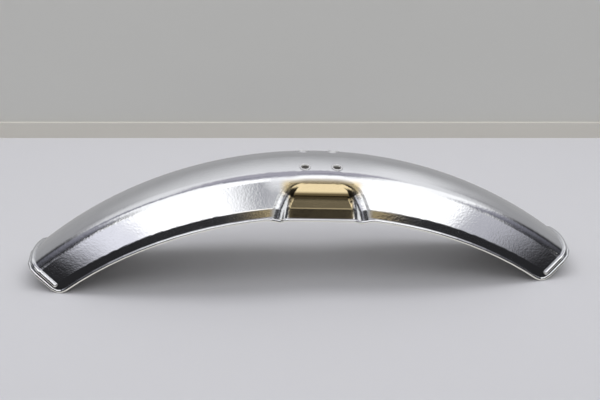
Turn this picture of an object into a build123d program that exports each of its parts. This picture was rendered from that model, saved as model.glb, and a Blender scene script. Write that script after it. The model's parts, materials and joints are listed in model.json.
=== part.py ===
"""Motorcycle front mudguard: one pressed sheet, in millimetres, resting on its four lower corners.

The near half (the -Y side) is worked out about the axis of its arc (the Y axis), mirrored, and set
down on the floor at the end. Every surface of the sheet is made twice: once for the outside, and once
for the inside, one sheet thickness further in.
"""
from math import atan2, cos, hypot, radians, sin, sqrt, tan
import os

from build123d import *

# Arc of the guard, seen from the side
crown_radius = 352.0  # outside of the crown, from the axis of the arc
half_arc = 39.1  # degrees from the top of the arc to each crown tip
end_slope = 37.0  # degrees below level, the way each end is cut back from its tip
corner_round = 9.0  # rounding of the four lower corners
sheet = 1.0  # thickness of the metal

# Section across the guard at the top of the arc: half widths, and drops below the crown
shoulder_half = 27.5
shoulder_drop = 4.3
wall_half = 42.5
wall_drop = 25.6
skirt_half = 46.0
skirt_drop = 33.0
shoulder_bend = 14.0
wall_bend = 4.0
shoulder_taper = 0.06  # share of the half width that is lost at the tips
wall_taper = 0.21
flare_taper = 0.6
spare = 14.0  # extra depth that the trimming takes off again
station_step = 14.0  # degrees between the sections that carry the shape

# Recess for the fork leg, the same on both sides
recess_angle = 2.3  # degrees from the top of the arc
recess_width = 52.0  # flat back of the recess
recess_corner = 20.0
recess_draft = 24.0  # degrees, the lean of its side walls
recess_half = 33.3  # from the middle of the guard to the foot of the back of the recess
recess_lean = 14.0  # degrees, the lean of its back
recess_top_drop = 7.0
ledge_drop = 21.5  # where the back begins to sweep out again
ledge_end_half = 37.8
ledge_end_drop = 29.2
recess_skirt_half = 40.8
recess_skirt_drop = 38.0
ledge_bend = 8.0
crease_bend = 4.0
recess_inner_bend = 6.0
recess_lip_bend = 12.0
run_out = 40.0  # half length of the straight edge under the recess, to where it joins the arc
run_in = 31.0
run_bend = 8.0

# Rolled edge, end beads and bolt holes
hem_radius = 1.4
hem_step = 14.0  # longest straight length of the rolled edge
hem_turn = 25.0  # degrees, the most that it turns from one length to the next
hem_least = 2.0
bead_radius = 1.9
bead_setback = 4.3  # from the cut end to the middle of the bead
hole_diameter = 7.0
hole_pitch = 25.0  # along the guard
hole_gauge = 38.0  # across the guard

hand = radians(recess_angle)
along_recess = Vector(cos(hand), 0, -sin(hand))


def across(angle):
    """Plane across the guard: x towards +Y, y outwards from the axis of the arc."""
    turn = radians(angle)
    return Plane(origin=(0, 0, 0), x_dir=(0, 1, 0), z_dir=(cos(turn), 0, -sin(turn)))


def beside(half):
    """Plane along the near side at the recess: x along the guard, y outwards from the axis."""
    return Plane(origin=(0, -half, 0), x_dir=along_recess, z_dir=(0, -1, 0))


def moved_in(before, here, after, inset):
    """Corner of an outline after both of its sides have moved to their left by the inset."""
    first = atan2(here[1] - before[1], here[0] - before[0])
    second = atan2(after[1] - here[1], after[0] - here[0])
    reach = inset / cos((second - first) / 2)
    middle = (first + second) / 2
    return (here[0] - reach * sin(middle), here[1] + reach * cos(middle))


def blank(inset):
    """Near half of the plain guard as a filled volume, before the recess."""
    flare = (skirt_half - wall_half) / (skirt_drop - wall_drop)
    low_drop = skirt_drop + spare
    with BuildPart() as shape:
        for step in range(-3, 4):
            angle = step * station_step
            share = (angle / half_arc) ** 2
            narrow = 1 - wall_taper * share
            top = (shoulder_half * (1 - shoulder_taper * share), crown_radius - shoulder_drop)
            mid = (wall_half * narrow, crown_radius - wall_drop)
            lean = flare * (1 - flare_taper * share)
            low = (mid[0] + lean * (low_drop - wall_drop), crown_radius - low_drop)
            with BuildSketch(across(angle)):
                with BuildLine():
                    ThreePointArc((-top[0], top[1]), (0, crown_radius), top)
                    Polyline(top, mid, low, (-low[0], low[1]), (-mid[0], mid[1]), (-top[0], top[1]))
                make_face()
                fillet(vertices().group_by(Axis.Y)[-1], shoulder_bend)
                fillet(vertices().group_by(Axis.Y)[1], wall_bend)
                if inset:
                    offset(amount=-inset, mode=Mode.REPLACE)
                split(bisect_by=Plane.YZ, keep=Keep.BOTTOM)
        loft()
    return shape.part


def recess(inset):
    """Volume that the near recess takes out of the filled guard."""
    lean = tan(radians(recess_draft))
    grow = inset / cos(radians(recess_draft))
    start = recess_inner_bend + 3
    half = recess_width / 2 - start * lean + grow
    top = crown_radius - recess_top_drop + grow
    low = crown_radius - recess_skirt_drop - spare
    deep = recess_skirt_drop + 3 * spare
    flare = (recess_skirt_half - ledge_end_half) / (recess_skirt_drop - ledge_end_drop)
    tilt = tan(radians(recess_lean))
    head = (-recess_half + tilt * (ledge_drop + spare), crown_radius + spare)
    turn = (-recess_half, crown_radius - ledge_drop)
    edge = (-ledge_end_half, crown_radius - ledge_end_drop)
    foot = (-ledge_end_half - flare * (deep - ledge_end_drop), crown_radius - deep)
    with BuildPart() as hollow:
        with BuildSketch(beside(recess_half - start)):
            with BuildLine():
                Polyline((-half, low), (-half, top), (half, top), (half, low), close=True)
            make_face()
            fillet(vertices().group_by(Axis.Y)[-1], recess_corner + grow)
        extrude(amount=skirt_half - recess_half + 2 * start, taper=-recess_draft)
        with BuildSketch(across(recess_angle)):
            with BuildLine():
                Polyline(
                    (0, head[1]),
                    (head[0] + inset * hypot(1, tilt), head[1]),
                    moved_in(head, turn, edge, inset),
                    moved_in(turn, edge, foot, inset),
                    (foot[0] + inset * hypot(1, flare), foot[1]),
                    (0, foot[1]),
                    close=True,
                )
            make_face()
            fillet(vertices().group_by(Axis.Y)[1], crease_bend - inset)
            fillet(vertices().group_by(Axis.Y)[3], ledge_bend + inset)
        extrude(amount=3 * recess_width, both=True, mode=Mode.SUBTRACT)
        level = faces().filter_by(lambda face: abs(face.normal_at().dot(along_recess)) < 0.05)
        back = level.sort_by(Axis.Z)[1:-1].sort_by(Axis.Y)[1:]
        joined = [edge for face in back for edge in face.edges()]
        rim = [edge for edge in joined if joined.count(edge) == 1 and (edge @ 0.5).Z > low]
        fillet(rim, recess_inner_bend + inset)
    return hollow.part


def pressed(inset):
    """The filled near half with its recess, the lip of the recess rounded."""
    volume = blank(inset)
    hollow = recess(inset)
    skin = volume.shell()
    walls = hollow.shell()
    with BuildPart() as shape:
        add(volume)
        add(hollow, mode=Mode.SUBTRACT)
        shared = [e for e in edges() if max(skin.distance_to(e @ 0.5), walls.distance_to(e @ 0.5)) < 0.001]
        lip = [e for e in shared if (e @ 0.5).Z > crown_radius - recess_skirt_drop - spare / 2]
        fillet(lip, recess_lip_bend - inset)
    return shape.part


def from_recess(along, drop):
    """Point of the side view, seen from the middle of the recess."""
    radius = crown_radius - drop
    return (along * cos(hand) + radius * sin(hand), -along * sin(hand) + radius * cos(hand))


def on_edge(along):
    """Point of the lower edge at a distance along the guard from the middle of the recess."""
    turn = hand + along / edge_radius
    return (edge_radius * sin(turn), edge_radius * cos(turn))


# Side view: two cut ends, the lower edge, and the straight edge under the recess
edge_radius = crown_radius - skirt_drop
tip = (crown_radius * sin(radians(half_arc)), crown_radius * cos(radians(half_arc)))
way = (-cos(radians(end_slope)), -sin(radians(end_slope)))
dot = tip[0] * way[0] + tip[1] * way[1]
reach = -dot - sqrt(dot**2 - crown_radius**2 + edge_radius**2)
foot = (tip[0] + reach * way[0], tip[1] + reach * way[1])
over = (tip[0] - 2 * spare * way[0], tip[1] - 2 * spare * way[1])
roof = crown_radius + spare
with BuildPart() as trim:
    with BuildSketch(Plane.XZ):
        with BuildLine():
            RadiusArc((-foot[0], foot[1]), on_edge(-run_out), edge_radius)
            Polyline(on_edge(-run_out), from_recess(-run_in, recess_skirt_drop),
                     from_recess(run_in, recess_skirt_drop), on_edge(run_out))
            RadiusArc(on_edge(run_out), foot, edge_radius)
            Polyline(foot, over, (over[0], roof), (-over[0], roof), (-over[0], over[1]), (-foot[0], foot[1]))
        make_face()
        fillet(vertices().group_by(Axis.Y)[0], corner_round)
        steps = [v for v in vertices() if abs(v.X) < 2 * run_out and v.Y < crown_radius]
        fillet(steps, run_bend)
    extrude(amount=2 * skirt_half, both=True)

# Rolled edge: a tube in short lengths along the rim of the middle of the sheet
with BuildPart() as kept:
    add(pressed(sheet / 2))
    add(trim.part, mode=Mode.INTERSECT)
cuts = [f for f in kept.faces() if f.geom_type in (GeomType.PLANE, GeomType.CYLINDER)]
cuts = [f for f in cuts if abs(f.normal_at().Y) < 0.01]
joined = [edge for face in cuts for edge in face.edges()]
rim = Wire.combine([edge for edge in joined if joined.count(edge) == 1 and abs((edge @ 0.5).Y) > 0.001])[0]
points = [rim @ 0]
corner = rim @ 0
for edge in rim.order_edges():
    lengths = max(1, round(edge.length / hem_step), round((edge % 0).get_angle(edge % 1) / hem_turn))
    onward = (edge @ 0 - corner).length < (edge @ 1 - corner).length
    corner = edge @ 1 if onward else edge @ 0
    for count in range(1, lengths + 1):
        spot = edge @ (count / lengths if onward else 1 - count / lengths)
        if min((spot - points[-1]).length, (spot - rim @ 1).length) > hem_least:
            points.append(spot)
points.append(rim @ 1)
points[0] += (points[0] - points[1]).normalized() * hem_radius
points[-1] += (points[-1] - points[-2]).normalized() * hem_radius
with BuildPart() as hem:
    with BuildLine() as hem_line:
        Polyline(*points)
    with BuildSketch(Plane(origin=hem_line.line @ 0, z_dir=hem_line.line % 0)):
        Circle(hem_radius)
    sweep(path=hem_line.line, transition=Transition.RIGHT)
    split(bisect_by=Plane.XZ, keep=Keep.TOP)

# Line of the left bead: over the crown and down the wall
slope = radians(end_slope)
left_out = (-sin(slope), 0, -cos(slope))
left_cut = Plane(origin=(-tip[0], 0, tip[1]), x_dir=(0, 1, 0), z_dir=left_out).offset(-bead_setback)
ring = section(blank(0), section_by=left_cut).edges()
wall_end = crown_radius - wall_drop + wall_bend / 4
ring = [edge for edge in ring if hypot((edge @ 0.5).X, (edge @ 0.5).Z) > wall_end]
ring = [edge for edge in ring if abs((edge @ 0.5).Y) > 0.001]
bead_line = Wire(ring)
if abs((bead_line @ 0).Y) < 0.001:
    low_end = bead_line @ 1
else:
    low_end = bead_line @ 0
with BuildPart() as bead:
    with BuildSketch(Plane(origin=bead_line @ 0, z_dir=bead_line % 0)):
        Circle(bead_radius)
    sweep(path=bead_line)
    with Locations(low_end):
        Sphere(bead_radius)
with BuildPart() as groove:
    with BuildSketch(Plane(origin=bead_line @ 0, x_dir=left_out, z_dir=bead_line % 0)):
        Circle(bead_radius - sheet)
        with Locations((0, -0.75 * sheet)):
            Rectangle(2 * (bead_radius - sheet), 1.5 * sheet)
    sweep(path=bead_line)

with BuildPart() as near:
    add(pressed(0))
    add(pressed(sheet), mode=Mode.SUBTRACT)
    add(trim.part, mode=Mode.INTERSECT)
    add(bead.part)
    add(bead.part.mirror(Plane.YZ))
    add(groove.part, mode=Mode.SUBTRACT)
    add(groove.part.mirror(Plane.YZ), mode=Mode.SUBTRACT)
    add(hem.part)
    with Locations((from_recess(0, 0)[0], -hole_gauge / 2, crown_radius)):
        with GridLocations(hole_pitch, 0, 2, 1):
            Hole(hole_diameter / 2, depth=2 * spare)
    mirror(about=Plane.XZ)

with BuildPart() as mudguard:
    with Locations((0, 0, -near.part.bounding_box().min.Z)):
        add(near.part)
mudguard.part.label = "mudguard"
os.makedirs("parts", exist_ok=True)
export_step(mudguard.part, "parts/mudguard.step")
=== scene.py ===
# %% [markdown]
# # A pressed motorcycle mudguard
# The guard is one sheet of metal: an arched crown, two sloping walls, a recess for the fork leg in each
# side, a bead near each end and a rolled lower edge. Its shape comes finished from the CAD frame, so this
# lesson is about its finish: polished metal with a satin lip, a painted gold reflection and painted shade in
# its recess, the rims of its bolt holes, the room that such metal mirrors, and the camera.

import json
from math import cos, pi, radians, sin

import bpy
from mathutils import Matrix, Vector


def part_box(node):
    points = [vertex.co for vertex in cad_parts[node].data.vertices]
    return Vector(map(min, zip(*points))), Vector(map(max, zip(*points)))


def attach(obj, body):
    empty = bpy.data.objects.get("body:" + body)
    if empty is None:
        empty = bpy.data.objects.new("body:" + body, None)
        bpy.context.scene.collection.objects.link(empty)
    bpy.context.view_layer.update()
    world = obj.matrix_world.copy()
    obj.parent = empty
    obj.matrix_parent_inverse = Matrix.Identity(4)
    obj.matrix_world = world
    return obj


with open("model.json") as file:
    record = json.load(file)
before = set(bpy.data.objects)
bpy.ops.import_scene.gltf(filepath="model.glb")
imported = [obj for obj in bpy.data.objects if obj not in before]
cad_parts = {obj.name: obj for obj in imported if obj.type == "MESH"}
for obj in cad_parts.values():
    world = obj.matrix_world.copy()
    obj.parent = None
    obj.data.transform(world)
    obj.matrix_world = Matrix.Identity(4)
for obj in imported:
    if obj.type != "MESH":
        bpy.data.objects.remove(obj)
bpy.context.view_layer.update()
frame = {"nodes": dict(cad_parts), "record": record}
guard = frame["nodes"]["mudguard"]
low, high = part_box("mudguard")
scene = bpy.context.scene
MM = 0.001
print("guard", [round((b - a) / MM, 1) for a, b in zip(low, high)], "mm")


# %% [markdown]
# ## Two small helpers
# Colours are written as sRGB hex values and turned to linear light by one function. A second function adds
# a shader node, sets its inputs and links it, so that a material reads as a list of its nodes. Nodes could
# also be placed by hand in the shader editor, but a script shows every value and can be run again.

# %% Helpers for colours and nodes
def linear(code):
    """Linear RGBA of a hex colour."""
    parts = [int(code[i:i + 2], 16) / 255 for i in (1, 3, 5)]
    parts = [c / 12.92 if c <= 0.04045 else ((c + 0.055) / 1.055) ** 2.4 for c in parts]
    return (*parts, 1.0)


def node(tree, kind, settings=None, **sockets):
    """Adds a node; settings are its properties, and each socket takes a value or another node's output.

    A socket goes by its name, with _ for a space, or by its number after a _.
    """
    new = tree.nodes.new("ShaderNode" + kind)
    for name, value in (settings or {}).items():
        setattr(new, name, value)
    for name, value in sockets.items():
        socket = new.inputs[int(name[1:]) if name[1:].isdigit() else name.replace("_", " ")]
        if isinstance(value, bpy.types.NodeSocket):
            tree.links.new(value, socket)
        else:
            socket.default_value = value
    return new


TIMES = {"operation": "MULTIPLY"}
LESS = {"operation": "SUBTRACT"}
SIZE = {"operation": "ABSOLUTE"}
SMOOTH = {"interpolation_type": "SMOOTHSTEP"}
COLOURS = {"data_type": "RGBA"}
print("half grey is", round(linear("#808080")[0], 3), "in linear light")

# %% [markdown]
# ## Polished metal
# The real sheet is steel that was pressed, polished on a wheel and plated with chrome. To the eye it is a
# mirror, softened by a fine grain. Its colour is not the same all over here: a gold reflection is painted
# into the recess and the skirt beside it, painted shade darkens the recess's inner crease, and the lip of
# the recess has gone satin. An image could paint these places. Distances in the shader need no image, so
# they are used here, measured from the wheel's axle with the recess turned to the top.

# %% Distances on the guard
CROWN_RADIUS = 352  # mm, from the axle to the crown
CREASE_HEIGHT = 331.3  # mm, from the axle to the inner crease of the recess
RECESS_TURN = radians(2.3)  # about the axle, from the top of the arc to the middle of the recess

metal = bpy.data.materials.new("chrome_plated_steel")
metal.use_nodes = True
tree = metal.node_tree
shader = tree.nodes["Principled BSDF"]
where = node(tree, "TexCoord")
place = where.outputs["Object"]
axle = (0, 0, high.z - CROWN_RADIUS * MM)
from_axle = node(tree, "VectorMath", LESS, _0=place, _1=axle).outputs[0]
flat = node(tree, "VectorMath", TIMES, _0=from_axle, _1=(1, 0, 1)).outputs[0]
radius = node(tree, "VectorMath", {"operation": "LENGTH"}, _0=flat).outputs["Value"]
turned = node(tree, "VectorRotate", {"rotation_type": "Y_AXIS"}, Vector=from_axle, Angle=-RECESS_TURN)
spot = node(tree, "SeparateXYZ", Vector=turned.outputs[0])
along = node(tree, "Math", SIZE, _0=spot.outputs["X"]).outputs[0]
aside = node(tree, "Math", SIZE, _0=spot.outputs["Y"]).outputs[0]
height = spot.outputs["Z"]
over_crease = node(tree, "Math", LESS, _0=height, _1=CREASE_HEIGHT * MM).outputs[0]
off_crease = node(tree, "Math", SIZE, _0=over_crease).outputs[0]
print("axle at", round(axle[2] / MM, 1), "mm")

# %% [markdown]
# ## Where each finish and painted light lies
# An area is made of parts, and a part of limits. A limit names a distance, the place in mm where the area
# begins, and the place where it is full. A part is where all of its limits hold, and the area is all of its
# parts together. Soft limits are used because wear, painted shade and painted reflection have no sharp edge.

# %% Areas of the finish and of the painted light
middle = (along, 27, 20)
below_crown = [(radius, 345.5, 341), (aside, 27, 29)]
near_lip = [(along, 50, 36), (aside, 26.5, 29)]

# painted shade: the recess's inner crease is darkened in the base colour
crease = [(off_crease, 3.8, 1.2), middle, (aside, 38, 35.5)]
# painted reflection: the recess and the skirt beside it are tinted gold, as if they mirrored warm light
recess_top = [(along, 34, 26), (radius, 331, 338), *below_crown]
recess_back = [(along, 27, 23.5), (height, 315.2, 316.2), *below_crown]
skirt_beside = [(along, 80, 45), (along, 35, 41), (radius, 327, 325), (radius, 320.2, 321.2)]
lip_beside = [*near_lip, (along, 22, 26)]
lip_above = [*near_lip, (height, 339.5, 342)]
finishes_and_painted_light = {
    "smooth": [[middle]],
    "painted_crease_shade": [crease],
    "painted_gold_reflection": [recess_top, recess_back, skirt_beside],
    "satin": [lip_beside, lip_above],
}
areas = {}
for name, parts in finishes_and_painted_light.items():
    area = 0.0
    for limits in parts:
        part = 1.0
        for distance, start, full in limits:
            edge = node(tree, "MapRange", SMOOTH, Value=distance, From_Min=start * MM, From_Max=full * MM)
            part = node(tree, "Math", TIMES, _0=part, _1=edge.outputs["Result"]).outputs[0]
        area = node(tree, "Math", {"operation": "MAXIMUM"}, _0=area, _1=part).outputs[0]
    areas[name] = area
print("areas:", *areas)

# %% [markdown]
# ## The underside
# Nobody polishes the inside of a mudguard, so it is dull grey here. The sheet is one solid, and both of its
# faces share this material. It could be split in two, but the shader can tell the faces apart: outside, the
# normal points away from the axle and from the middle of the guard.

# %% Inside or outside
SIDEWAYS = 8  # the walls stand steep, so the way to the side counts this much more

outward = node(tree, "VectorMath", TIMES, _0=from_axle, _1=(1, SIDEWAYS, 1)).outputs[0]
facing = node(tree, "VectorMath", {"operation": "DOT_PRODUCT"}, _0=where.outputs["Normal"], _1=outward)
inside = node(tree, "Math", {"operation": "LESS_THAN"}, _0=facing.outputs["Value"], _1=0.0).outputs[0]
outside = node(tree, "Math", LESS, _0=1.0, _1=inside).outputs[0]
tree.links.new(outside, shader.inputs["Metallic"])
print("metallic on the outside only")

# %% [markdown]
# ## Colour and roughness
# Chrome is a pale, slightly blue grey. The polishing wheel left broad passes on it, which a slow noise draws
# as a small change of tone and of roughness. Each area then lays its own colour over the last: a painted
# gold reflection, painted shade in the crease, and the dull grey of the underside.

# %% Colour and roughness
PASS_WIDTH = 25  # mm, of the polishing wheel
POLISHED = {"To_Min": 0.08, "To_Max": 0.14}  # roughness, which varies with the wear
LIP_HEIGHTS = {"From_Min": 332 * MM, "From_Max": 343 * MM}  # above the axle
SATIN = {"To_Min": 0.17, "To_Max": 0.3}  # roughness at these two heights
DULL = 0.55  # roughness of the underside

wear = node(tree, "TexNoise", Vector=place, Scale=1 / (PASS_WIDTH * MM), Detail=4.0).outputs["Fac"]
colour = linear("#d9dadd")
# the gold layer is a painted reflection of warm light, and the crease layer is painted shade
layers = [(wear, "#e9eaec"), (areas["painted_gold_reflection"], "#dfcca3"), (areas["painted_crease_shade"], "#5a4e36"), (inside, "#8a8884")]
for area, code in layers:
    colour = node(tree, "Mix", COLOURS, _0=area, _6=colour, _7=linear(code)).outputs[2]
tree.links.new(colour, shader.inputs["Base Color"])

polished = node(tree, "MapRange", Value=wear, **POLISHED).outputs["Result"]
satin = node(tree, "MapRange", SMOOTH, Value=height, **LIP_HEIGHTS, **SATIN).outputs["Result"]
rough = node(tree, "Mix", _0=areas["satin"], _2=polished, _3=satin).outputs[0]
rough = node(tree, "Mix", _0=inside, _2=rough, _3=DULL).outputs[0]
tree.links.new(rough, shader.inputs["Roughness"])
print("colour layers:", len(layers))

# %% [markdown]
# ## Grain
# The plating shows the grain of the steel below it, and slow waves that the press left in the sheet. Real
# grain is a few tenths of a millimetre wide. A pixel of the picture covers 0.8 mm, so such grain would only
# blur the mirror, and it is drawn wider here so that it shows. The recess is smoother, so it has less of it.

# %% Grain
GRAIN_WIDTH, GRAIN_DEPTH = 1.7, 0.3  # mm; wider than the real grain, so that it shows
WAVE_WIDTH, WAVE_DEPTH = 9, 0.1  # mm
WAVE_STRENGTH = 0.15
GRAIN_STRENGTH = {"To_Min": 0.2, "To_Max": 0.06}  # on most of the guard, and in the recess

waves = node(tree, "TexNoise", Vector=place, Scale=1 / (WAVE_WIDTH * MM), Detail=1.0).outputs["Fac"]
speckle = {"Scale": 1 / (GRAIN_WIDTH * MM), "Detail": 2.0, "Roughness": 0.55}
grain = node(tree, "TexNoise", Vector=place, **speckle).outputs["Fac"]
bite = node(tree, "MapRange", Value=areas["smooth"], **GRAIN_STRENGTH).outputs["Result"]
swell = node(tree, "Bump", Height=waves, Strength=WAVE_STRENGTH, Distance=WAVE_DEPTH * MM).outputs["Normal"]
pits = node(tree, "Bump", Height=grain, Normal=swell, Strength=bite, Distance=GRAIN_DEPTH * MM)
tree.links.new(pits.outputs["Normal"], shader.inputs["Normal"])

guard.data.materials.clear()
guard.data.materials.append(metal)
print(metal.name, "on", guard.name, "with", len(tree.nodes), "nodes")

# %% [markdown]
# ## Rims of the bolt holes
# Each of the four holes has a pale raised rim. A flat ring would lift off the curved crown, so a ray is cast
# down on the guard at each point of a circle, and a thin round curve follows these points. The curve is made
# a mesh, as every finished piece is. The holes' places come from the part's record.

# %% One rim
RIM_CIRCLE = 3.7  # mm, from the middle of a hole to the middle of its rim
RIM_RADIUS = 0.8  # mm
RIM_POINTS = 32

graph = bpy.context.evaluated_depsgraph_get()


def hole_rim(centre):
    """A thin ring that lies on the crown, round the hole below that centre."""
    path = bpy.data.curves.new("hole_rim", "CURVE")
    path.dimensions = "3D"
    path.bevel_depth = RIM_RADIUS * MM
    path.bevel_resolution = 3
    ring = path.splines.new("POLY")
    ring.points.add(RIM_POINTS - 1)
    ring.use_cyclic_u = True
    for i, point in enumerate(ring.points):
        angle = 2 * pi * i / RIM_POINTS
        above = centre + RIM_CIRCLE * MM * Vector((cos(angle), sin(angle), 0))
        on_crown = scene.ray_cast(graph, above, Vector((0, 0, -1)))[1]
        point.co = (*on_crown, 1)
    rim = bpy.data.objects.new("hole_rim", path)
    scene.collection.objects.link(rim)
    bpy.ops.object.select_all(action="DESELECT")
    rim.select_set(True)
    bpy.context.view_layer.objects.active = rim
    bpy.ops.object.convert(target="MESH")
    return bpy.context.object


print("each rim has", RIM_POINTS, "points")

# %% [markdown]
# The rims are steel that tools and bolts have rubbed, which looks pale and matt beside the plating.

# %% Four rims
rim_metal = bpy.data.materials.new("bare_steel_rim")
rim_metal.use_nodes = True
rim_shader = rim_metal.node_tree.nodes["Principled BSDF"]
rim_shader.inputs["Metallic"].default_value = 1.0
rim_shader.inputs["Base Color"].default_value = linear("#f0f0f0")
rim_shader.inputs["Roughness"].default_value = 0.55

bolts = frame["record"]["mounts"][0]
half_pitch = bolts["dims"]["spacing_x_mm"] * MM / 2
half_gauge = bolts["dims"]["spacing_y_mm"] * MM / 2
for step_x, step_y in ((-1, -1), (1, -1), (-1, 1), (1, 1)):
    centre = Vector((bolts["pos_m"][0] + step_x * half_pitch, step_y * half_gauge, 1))
    rim = hole_rim(centre)
    rim.data.materials.append(rim_metal)
    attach(rim, "root")
    print(rim.name, "at", [round(c / MM, 1) for c in centre.xy], "mm")

# %% [markdown]
# ## The stage
# The photo has a pale table, and behind it a pale wall with a low ledge at its foot. They could be one bent
# sheet, but the photo shows where they meet, so they are flat boards. Each is clear from behind, so that the
# guard can be seen from any side. The metal mirrors the room drawn further below instead of these boards.

# %% Table
FAR = 4  # metres, as all sizes of the stage are; well out of the picture


def board(name, corners, code):
    """A flat stage piece from the corners of its quads, painted plain on its front and clear from behind."""
    mesh = bpy.data.meshes.new(name)
    mesh.from_pydata(corners, [], [range(i, i + 4) for i in range(0, len(corners), 4)])
    piece = bpy.data.objects.new(name, mesh)
    scene.collection.objects.link(piece)
    piece.visible_glossy = False
    paint = bpy.data.materials.new("matt_" + name)
    paint.use_nodes = True
    paint_tree = paint.node_tree
    front = paint_tree.nodes["Principled BSDF"]
    front.inputs["Base Color"].default_value = linear(code)
    front.inputs["Roughness"].default_value = 0.7
    behind = node(paint_tree, "NewGeometry").outputs["Backfacing"]
    clear = node(paint_tree, "BsdfTransparent").outputs[0]
    seen = node(paint_tree, "MixShader", _0=behind, _1=front.outputs[0], _2=clear).outputs[0]
    paint_tree.links.new(seen, paint_tree.nodes["Material Output"].inputs["Surface"])
    mesh.materials.append(paint)
    return piece


table = board("table", [(-FAR, -FAR, 0), (FAR, -FAR, 0), (FAR, FAR, 0), (-FAR, FAR, 0)], "#d2d2d6")
print("table", [round(c, 2) for c in table.dimensions], "m")

# %% Wall and ledge
WALL_HALF = 2
WALL_Y = 0.35  # behind the guard
LEDGE_HEIGHT, LEDGE_DEPTH = 0.019, 0.006
YAW = radians(3.13)  # the camera's turn about the guard; the wall stays square to the camera

wall_corners = [(-WALL_HALF, 0, 0), (WALL_HALF, 0, 0), (WALL_HALF, 0, FAR), (-WALL_HALF, 0, FAR)]
wall = board("wall", wall_corners, "#cbcbc8")
low_left, low_right = (-WALL_HALF, -LEDGE_DEPTH, 0), (WALL_HALF, -LEDGE_DEPTH, 0)
top_left, top_right = (-WALL_HALF, -LEDGE_DEPTH, LEDGE_HEIGHT), (WALL_HALF, -LEDGE_DEPTH, LEDGE_HEIGHT)
back_left, back_right = (-WALL_HALF, 0, LEDGE_HEIGHT), (WALL_HALF, 0, LEDGE_HEIGHT)
ledge_corners = [low_left, low_right, top_right, top_left, top_left, top_right, back_right, back_left]
ledge = board("skirting", ledge_corners, "#cfccc5")
for piece in (wall, ledge):
    piece.matrix_world = Matrix.Translation((0, WALL_Y, 0)) @ Matrix.Rotation(-YAW, 4, "Z")
print("wall", [round(c, 2) for c in wall.dimensions], "m")

# %% [markdown]
# ## The lamp
# The photo's shadow lies right below the arch and has soft edges, so the light came from above and was wide.
# A small lamp would give a hard shadow. The metal doesn't mirror this lamp, because the room below holds all
# the lights that it shows.

# %% Overhead lamp
lamp = bpy.data.lights.new("overhead", "AREA")
lamp.shape = "RECTANGLE"
lamp.size = 1.6
lamp.size_y = 0.5
lamp.energy = 5.6
overhead = bpy.data.objects.new("overhead", lamp)
overhead.location = (0, 0.1, 1.2)
overhead.visible_glossy = False
scene.collection.objects.link(overhead)
print("lamp", lamp.size, "by", lamp.size_y, "m,", lamp.energy, "W")

# %% [markdown]
# ## The camera
# The photograph looks down on the guard from about 22 degrees, with the left end a little nearer. A camera
# can be placed by eye, but here its place is worked out from the lens, the size of a pixel at the crown and
# the crown's place in the picture, so that the render lies over the photo.

# %% Camera
PICTURE_WIDTH = 600  # pixels
MM_PER_PIXEL = 0.8 * MM
LENS_PIXELS = 850
SENSOR = 36  # mm
ELEVATION = radians(22.5)
CROWN_RIGHT, CROWN_UP = 1.7, 43.5  # the crown's top in the picture, in pixels from its centre

right = Vector((cos(YAW), -sin(YAW), 0))
ahead = Vector((sin(YAW), cos(YAW), 0))
into = ahead * cos(ELEVATION) - Vector((0, 0, sin(ELEVATION)))
upward = ahead * sin(ELEVATION) + Vector((0, 0, cos(ELEVATION)))
crown_top = Vector((0, 0, high.z))
eye = crown_top - MM_PER_PIXEL * (CROWN_RIGHT * right + CROWN_UP * upward + LENS_PIXELS * into)
lens = bpy.data.cameras.new("camera")
lens.sensor_width = SENSOR
lens.lens = SENSOR * LENS_PIXELS / PICTURE_WIDTH
camera = bpy.data.objects.new("camera", lens)
scene.collection.objects.link(camera)
camera.matrix_world = Matrix.Translation(eye) @ Matrix((right, upward, -into)).transposed().to_4x4()
scene.camera = camera
print("camera", [round(c, 3) for c in eye])

# %% [markdown]
# ## The room
# Polished metal has little colour of its own: what it mirrors makes the picture. The room could be built of
# boards and lamps, but it is quicker to move light about in the world's shader. There each part of the room
# is a soft patch, placed by two angles in degrees: its height above the horizon, and its bearing, which is 0
# towards the camera and grows to the right.

# %% Directions in the room
world = bpy.data.worlds.new("room")
scene.world = world
world.use_nodes = True
sky = world.node_tree
towards = node(sky, "SeparateXYZ", Vector=node(sky, "TexCoord").outputs["Generated"])
climb = node(sky, "Math", {"operation": "ARCSINE"}, _0=towards.outputs["Z"]).outputs[0]
nearer = node(sky, "Math", TIMES, _0=towards.outputs["Y"], _1=-1.0).outputs[0]
bearing = node(sky, "Math", {"operation": "ARCTAN2"}, _0=towards.outputs["X"], _1=nearer).outputs[0]


def patch(below, code, strength, heights, bearings):
    """Lays light over the room; each set of angles is where it starts, is full, starts to fade and ends."""
    mask = 1.0
    for angle, (start, full, fade, end) in ((climb, heights), (bearing, bearings)):
        for before, after in ((start, full), (end, fade)):
            ends = {"From_Min": radians(before), "From_Max": radians(after)}
            edge = node(sky, "MapRange", SMOOTH, Value=angle, **ends)
            mask = node(sky, "Math", TIMES, _0=mask, _1=edge.outputs["Result"]).outputs[0]
    level = [strength * c for c in linear(code)[:3]] + [1.0]
    return node(sky, "Mix", COLOURS, _0=mask, _6=below, _7=level).outputs[2]


print("directions in the world named", world.name)

# %% [markdown]
# The crown mirrors the pale room behind and above. The walls mirror two softboxes in front, and the dark
# room below them near the ends. The skirts mirror mostly the dark room, the rolled edge mirrors the table,
# and the recess mirrors the few patches in the middle. A later patch covers an earlier one.

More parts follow.
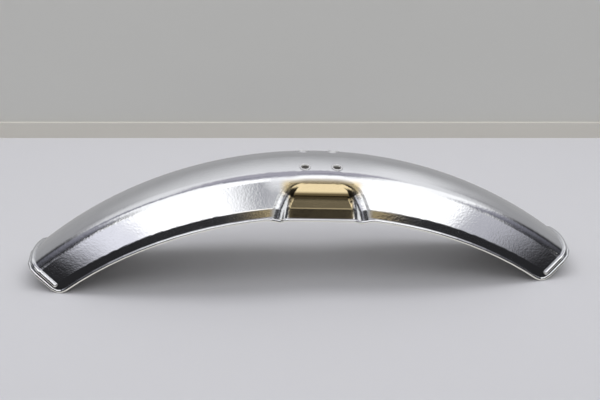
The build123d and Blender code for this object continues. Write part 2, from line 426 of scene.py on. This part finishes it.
# %% Patches of light
UP = (91, 92)  # past the zenith, so the patch has no upper edge
DOWN = (-92, -91)
ROUND = (-182, -181, 181, 182)
patches = [
    ("glow that grows upwards", "#f8f8fa", 1.0, (13, 56, *UP), ROUND),
    ("brighter corner behind", "#f8f8fa", 1.0, (10, 44, *UP), (118, 136, 152, 166)),
    ("ceiling", "#b4b2bc", 1.0, (58, 68, *UP), ROUND),
    ("grey wall on the left", "#a5a5a7", 1.0, (*DOWN, 28, 44), (-148, -134, -108, -98)),
    ("grey wall on the right", "#a5a5a7", 1.0, (*DOWN, 28, 44), (98, 108, 134, 148)),
    ("dark room in front", "#2a2a2c", 1.0, (*DOWN, 30, 41), (-118, -95, 95, 118)),
    ("dim light on the left", "#9494a0", 1.0, (10, 44, *UP), (-98, -82, -58, -50)),
    ("dim light on the right", "#9494a0", 1.0, (10, 44, *UP), (50, 58, 82, 98)),
    ("wide softbox", "#ffffff", 1.3, (36, 46, 64, 76), (-80, -66, 88, 102)),
    ("near softbox", "#ffffff", 1.6, (20, 28, 62, 74), (-51, -43, 46, 58)),
    ("glow below its left end", "#f6f6ff", 1.1, (4, 20, 24, 30), (-50, -45, -38, -34)),
    ("glow below its right end", "#f6f6ff", 0.65, (1, 20, 24, 30), (39, 43, 48, 54)),
    ("low light on the left", "#ffffff", 1.1, (-16, -8, 7, 11), (-83, -77, -62, -57)),
    ("low light on the right", "#ffffff", 1.1, (-16, -8, 7, 11), (57, 62, 77, 83)),
    ("shade in the softbox", "#8e8f96", 1.0, (40, 43, 54, 62), (-26, -5, -3, 3)),
    ("dark below the softbox", "#2a2a2c", 1.0, (*DOWN, 27, 33), (-27, -20, 24, 30)),
    ("table", "#efece4", 1.0, (*DOWN, -36, -26), ROUND),
    ("pale card at eye level", "#ececec", 1.45, (-14, -7, 8.5, 11), (-22, -12, 20, 30)),
    ("card above it", "#dadada", 1.0, (17, 20, 42, 47), (-5, 1, 14, 20)),
    ("its grey lower half", "#b0b0b0", 1.0, (20, 23, 29, 34), (-16, 4, 24, 36)),
    ("its dark bar", "#626262", 1.0, (33.5, 35, 39.5, 41.5), (-5, 1, 14, 20)),
]
room = linear("#ababac")
for name, code, strength, heights, bearings in patches:
    room = patch(room, code, strength, heights, bearings)
print("patches:", ", ".join(row[0] for row in patches))

# %% [markdown]
# The camera sees a plain grey past the stage, so the drawn room is seen in the metal alone. Its light still
# falls on the table.

# %% Plain background
seen = node(sky, "LightPath").outputs["Is Camera Ray"]
shown = node(sky, "Mix", COLOURS, _0=seen, _6=room, _7=linear("#b9b8b6")).outputs[2]
sky.links.new(shown, sky.nodes["Background"].inputs["Color"])
print("world has", len(sky.nodes), "nodes")

# %% [markdown]
# ## Finish
# Standard shows colours as they are written.

# %% Finish
scene.view_settings.view_transform = "Standard"
